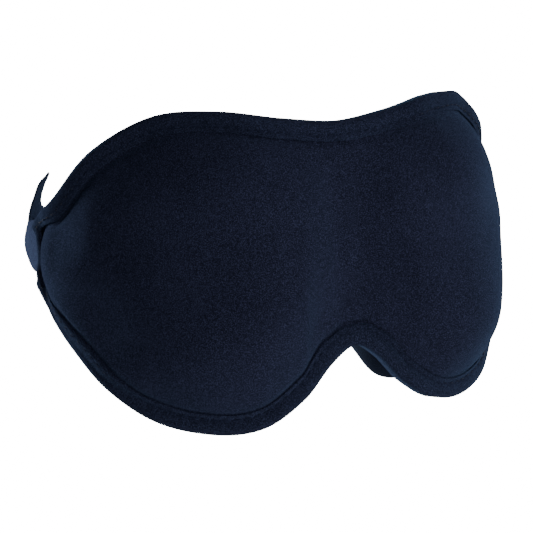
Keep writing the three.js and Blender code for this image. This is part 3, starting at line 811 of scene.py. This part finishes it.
def upright_ribbon(name, centre, thickness, seed):
    return ribbon(name, centre, np.repeat([[0, 0, 1.0]], len(centre), axis=0), thickness, seed)


side_centre, side_width = strap_side()
BACK_Y = side_centre[-1, 1]
BACK_Z = float(height_at(STRAP_SIDE))
RING_Y = BACK_Y + WRAP_RADIUS
RETURN_Y = BACK_Y + 2 * WRAP_RADIUS
LEFT_BAR = RING_X - RING_SPAN / 2
RIGHT_BAR = RING_X + RING_SPAN / 2


def straight_points(from_x, to_x, y, count):
    x = np.linspace(from_x, to_x, count)
    return np.stack([x, np.full(count, y), np.full(count, BACK_Z)], -1)


def make_strap(name, side, nodes, bar_x, tail, seed):
    mirror = np.array([side, 1, 1]) * [-1, 1, 1]
    turn = turn_points(bar_x, RING_Y, WRAP_RADIUS, -side)
    rear = straight_points(side_centre[-1, 0] * mirror[0], bar_x, BACK_Y, 60)[1:-1]
    centre = np.concatenate([side_centre * mirror, rear, turn] + tail)
    upright = np.repeat([[0, 0, 1.0]], len(centre) - len(side_centre), axis=0)
    width = np.concatenate([side_width * mirror, upright])
    # Painted shade on the inner face, fading out before the back of the loop.
    shaded = np.clip((len(side_centre) - np.arange(len(centre))) / PAINTED_SHADE_FADE, 0, 1)
    piece = ribbon(name, centre, width, STRAP_THICKNESS, seed, painted_shade_side=-side * shaded)
    finish_piece(piece, ELASTIC, None, nodes)
    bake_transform(piece)


def make_straps():
    fold = straight_points(LEFT_BAR, LEFT_BAR - FOLD_LENGTH, RETURN_Y, 16)[1:]
    make_strap("left_strap", -1, ["strap_end_left", "strap_left"], LEFT_BAR, [fold], 1.7)
    make_strap("right_strap", 1, ["strap_end_right", "strap_right"], RIGHT_BAR, [], 5.9)
    turn_x = SLIDER_X + SLIDER_BAR / 2 - 0.4
    turn = turn_points(turn_x, RETURN_Y - RETURN_TURN, RETURN_TURN, 1)[::-1]
    tail = straight_points(turn_x, SLIDER_X - SLIDER_BAR / 2, RETURN_Y - 2 * RETURN_TURN, 5)[1:]
    run = straight_points(RIGHT_BAR, turn_x, RETURN_Y, 50)[:-1]
    piece = upright_ribbon("doubled_strap", np.concatenate([run, turn, tail]), STRAP_THICKNESS, 9.1)
    finish_piece(piece, ELASTIC, None, ["strap_return"])
    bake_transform(piece)


# ------------------------------------------------------------------ adjuster


def make_ring():
    half_x = RING_SPAN / 2
    half_z = RING_HEIGHT / 2 + RING_WIRE
    path = []
    for quarter, (sx, sz) in enumerate([(1, 1), (-1, 1), (-1, -1), (1, -1)]):
        for i in range(9):
            angle = (quarter + i / 8) * math.pi / 2
            out = np.array([math.cos(angle), 0, math.sin(angle)])
            corner = np.array([sx * (half_x - RING_CORNER), 0, sz * (half_z - RING_CORNER)])
            path.append((corner + RING_CORNER * out, out))
    angles = np.linspace(0, 2 * np.pi, 20, endpoint=False)
    cos, sin = np.cos(angles)[:, None], np.sin(angles)[:, None]
    sections = np.array([centre + RING_WIRE * (cos * out + sin * [0, 1.0, 0]) for centre, out in path])
    sections += [RING_X, RING_Y, BACK_Z]
    piece = loft_piece("strap_ring", sections, np.zeros(sections.shape[:2] + (2,)), closed=True)
    finish_piece(piece, PLASTIC, "strap", ["ring"])


def dress_slider():
    slider = bpy.data.objects["slider"]
    slider.data.materials.clear()
    slider.data.materials.append(PLASTIC)
    bevel = slider.modifiers.new("edges", "BEVEL")
    bevel.width = 0.4 * MM
    bevel.segments = 3
    bevel.limit_method = "ANGLE"
    bevel.angle_limit = math.radians(35)


# ------------------------------------------------------------------ thread


def tube(points, radii, up):
    """Rings of six points about a line of points; up is a direction that the line never follows."""
    ahead = np.gradient(points, axis=0)
    ahead /= np.linalg.norm(ahead, axis=1)[:, None]
    side = np.cross(ahead, up)
    side /= np.linalg.norm(side, axis=1)[:, None]
    over = np.cross(side, ahead)
    angles = np.linspace(0, 2 * np.pi, 6, endpoint=False)
    return (points[:, None, :] + radii[:, None, None] * (np.cos(angles)[None, :, None] * side[:, None, :]
                                                         + np.sin(angles)[None, :, None] * over[:, None, :]))


def tubes_piece(name, tubes, body, nodes=()):
    points, faces, offset = [], [], 0
    for rings in tubes:
        count, size = rings.shape[:2]
        points.append(rings.reshape(-1, 3))
        faces += grid_faces(count, size, offset, wrap_rows=True)
        faces += [tuple(offset + j for j in range(size))]
        faces += [tuple(offset + (count - 1) * size + j for j in reversed(range(size)))]
        offset += count * size
    piece = face_outward(mesh_object(name, np.concatenate(points), faces))
    finish_piece(piece, THREAD, body, nodes)


def stitch_row(outline, inward, face, reach):
    """Stitches along a binding, at STITCH_LINE from the edge, on its front (1) or back (-1)."""
    fine = np.linspace(-reach, reach, 2001)
    run = run_length(shell_point(fine, outline(fine), 0))
    stitches = []
    # Each stitch dips into the binding at both ends and is drawn thinner there.
    profile = np.array([-0.28, 0.0, 0.10, 0.12, 0.10, 0.0, -0.28])
    radii = THREAD_RADIUS * np.array([0.6, 0.9, 1, 1, 1, 0.9, 0.6])
    for k in range(int(run[-1] / STITCH_PITCH)):
        start = (k + 0.5) * STITCH_PITCH
        arcs = np.interp(start + STITCH_LENGTH * np.linspace(-0.5, 0.5, 7), run, fine)
        heights = outline(arcs) + inward * stretch_at(outline, arcs) * leg_scale(arcs) * STITCH_LINE
        under = front_depth(arcs, heights) if face > 0 else -back_depth(arcs, heights)
        surface = soft_max(half_thickness(arcs, heights), under + BINDING_WALL) - STITCH_SINK
        points = shell_point(arcs, heights, face * (surface + profile))
        bend = bend_at(arcs)
        up = np.stack([np.sin(bend), -np.cos(bend), np.zeros_like(bend)], -1)
        stitches.append(tube(points, radii, up))
    return stitches


def make_stitches():
    rows = []
    for outline, inward in ((top_at, -1), (bottom_at, 1)):
        for face in (1, -1):
            rows += stitch_row(outline, inward, face, HALF_ARC - 2)
    tubes_piece("edge_stitches", rows, "mask")


def make_bar_tack(name, node, body):
    low, high = (np.array(v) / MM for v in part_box(node))
    x = (low[0] + high[0]) / 2
    heights = np.repeat(np.linspace(low[2], high[2], TACK_TURNS), 2)
    sides = np.tile([-1, 1, 1, -1], TACK_TURNS)[:len(heights)] * TACK_HALF_WIDTH
    surface = RETURN_Y + STRAP_THICKNESS / 2 + 0.12
    points = np.stack([x + sides, np.full(len(heights), surface), heights], -1)
    tubes_piece(name, [tube(points, np.full(len(points), TACK_THREAD), np.array([0, 1.0, 0]))], body, [node])


make_nose_flap()
make_straps()
make_ring()
dress_slider()
make_stitches()
make_bar_tack("left_bar_tack", "bar_tack_left", "strap")
make_bar_tack("slider_bar_tack", "bar_tack_slider", "slider")

# ------------------------------------------------------------------ camera, light and floor

# The camera is fitted to the photographed view as well.
CAMERA_PLACE = (-0.2321, -0.4076, 0.0427)  # in metres, as are the lights and the floor
CAMERA_AZIMUTH = math.radians(-26.81)
CAMERA_ELEVATION = math.radians(5.54)
CAMERA_ROLL = math.radians(-4.57)
CAMERA_LENS = 109.17      # in millimetres, for the sensor's width below
SENSOR_WIDTH = 36


def make_camera():
    data = bpy.data.cameras.new("camera")
    data.lens = CAMERA_LENS
    data.sensor_width = SENSOR_WIDTH
    data.clip_start = 0.01
    camera = bpy.data.objects.new("camera", data)
    bpy.context.scene.collection.objects.link(camera)
    ca, sa = math.cos(CAMERA_AZIMUTH), math.sin(CAMERA_AZIMUTH)
    ce, se = math.cos(CAMERA_ELEVATION), math.sin(CAMERA_ELEVATION)
    back = Vector((sa * ce, -ca * ce, se))
    right = Vector((ca, sa, 0))
    up = back.cross(right)
    cr, sr = math.cos(CAMERA_ROLL), math.sin(CAMERA_ROLL)
    axes = Matrix((cr * right + sr * up, cr * up - sr * right, back)).transposed()
    camera.matrix_world = Matrix.Translation(CAMERA_PLACE) @ axes.to_4x4()
    bpy.context.scene.camera = camera


make_camera()


def area_light(name, place, size, power):
    data = bpy.data.lights.new(name, "AREA")
    data.shape = "DISK"
    data.size = size
    data.energy = power
    light = bpy.data.objects.new(name, data)
    bpy.context.scene.collection.objects.link(light)
    light.location = place
    light.rotation_euler = (Vector(LIGHT_AIM) - Vector(place)).to_track_quat("-Z", "Y").to_euler()


# The first powers came from a least-squares fit to the photo's brightness and were then changed.
LIGHT_AIM = (0, 0.02, 0)
LIGHTS = {                # place, size and power of the soft lights
    "key": ((0.78, -0.30, 0.22), 0.26, 3.5),
    "front_fill": ((-0.10, -0.80, 0.10), 0.6, 4.7),
    "low_left": ((-0.22, -0.16, -0.40), 0.2, 0.3),
    "low_right": ((0.06, -0.20, -0.45), 0.2, 1.25),
    "left_rim": ((-0.20, 0.75, 0.02), 0.2, 1.0),
    "left_side": ((-0.45, 0.75, 0.02), 0.3, 14.0),
    "right_rim": ((0.45, 0.60, 0.15), 0.3, 7.0),
    "right_side": ((0.72, 0.25, 0.10), 0.2, 3.6),
}
for light_name, (light_place, light_size, light_power) in LIGHTS.items():
    area_light(light_name, light_place, light_size, light_power)

FLOOR_HEIGHT = -0.6
FLOOR_RADIUS = 30
BACKDROP_GLOW = 18.0      # bright enough to come out as plain white
AMBIENT = 0.03            # what the backdrop sheds on the mask


def glow(tree, shader_kind, output):
    """Two emitters in one: the plain white that the camera sees, and the dim ambient light on the mask."""
    n = Nodes(tree)
    seen = n.add("ShaderNodeLightPath").outputs["Is Camera Ray"]
    levels = {0: seen, 1: 0.0, 2: 1.0, 3: AMBIENT, 4: BACKDROP_GLOW}
    strength = n.add("ShaderNodeMapRange", levels).outputs[0]
    emitter = n.add(shader_kind, {"Color": (1, 1, 1, 1), "Strength": strength})
    tree.links.new(emitter.outputs[0], tree.nodes[output].inputs["Surface"])


def make_stage():
    world = bpy.data.worlds.new("studio")
    world.use_nodes = True
    glow(world.node_tree, "ShaderNodeBackground", "World Output")
    bpy.context.scene.world = world
    material, n = new_material("pale_floor")
    glow(n.tree, "ShaderNodeEmission", "Material Output")
    bpy.ops.mesh.primitive_circle_add(vertices=96, radius=FLOOR_RADIUS, fill_type="NGON",
                                      location=(0, 0, FLOOR_HEIGHT))
    floor = bpy.context.object
    floor.name = "floor"
    floor.data.materials.append(material)


make_stage()
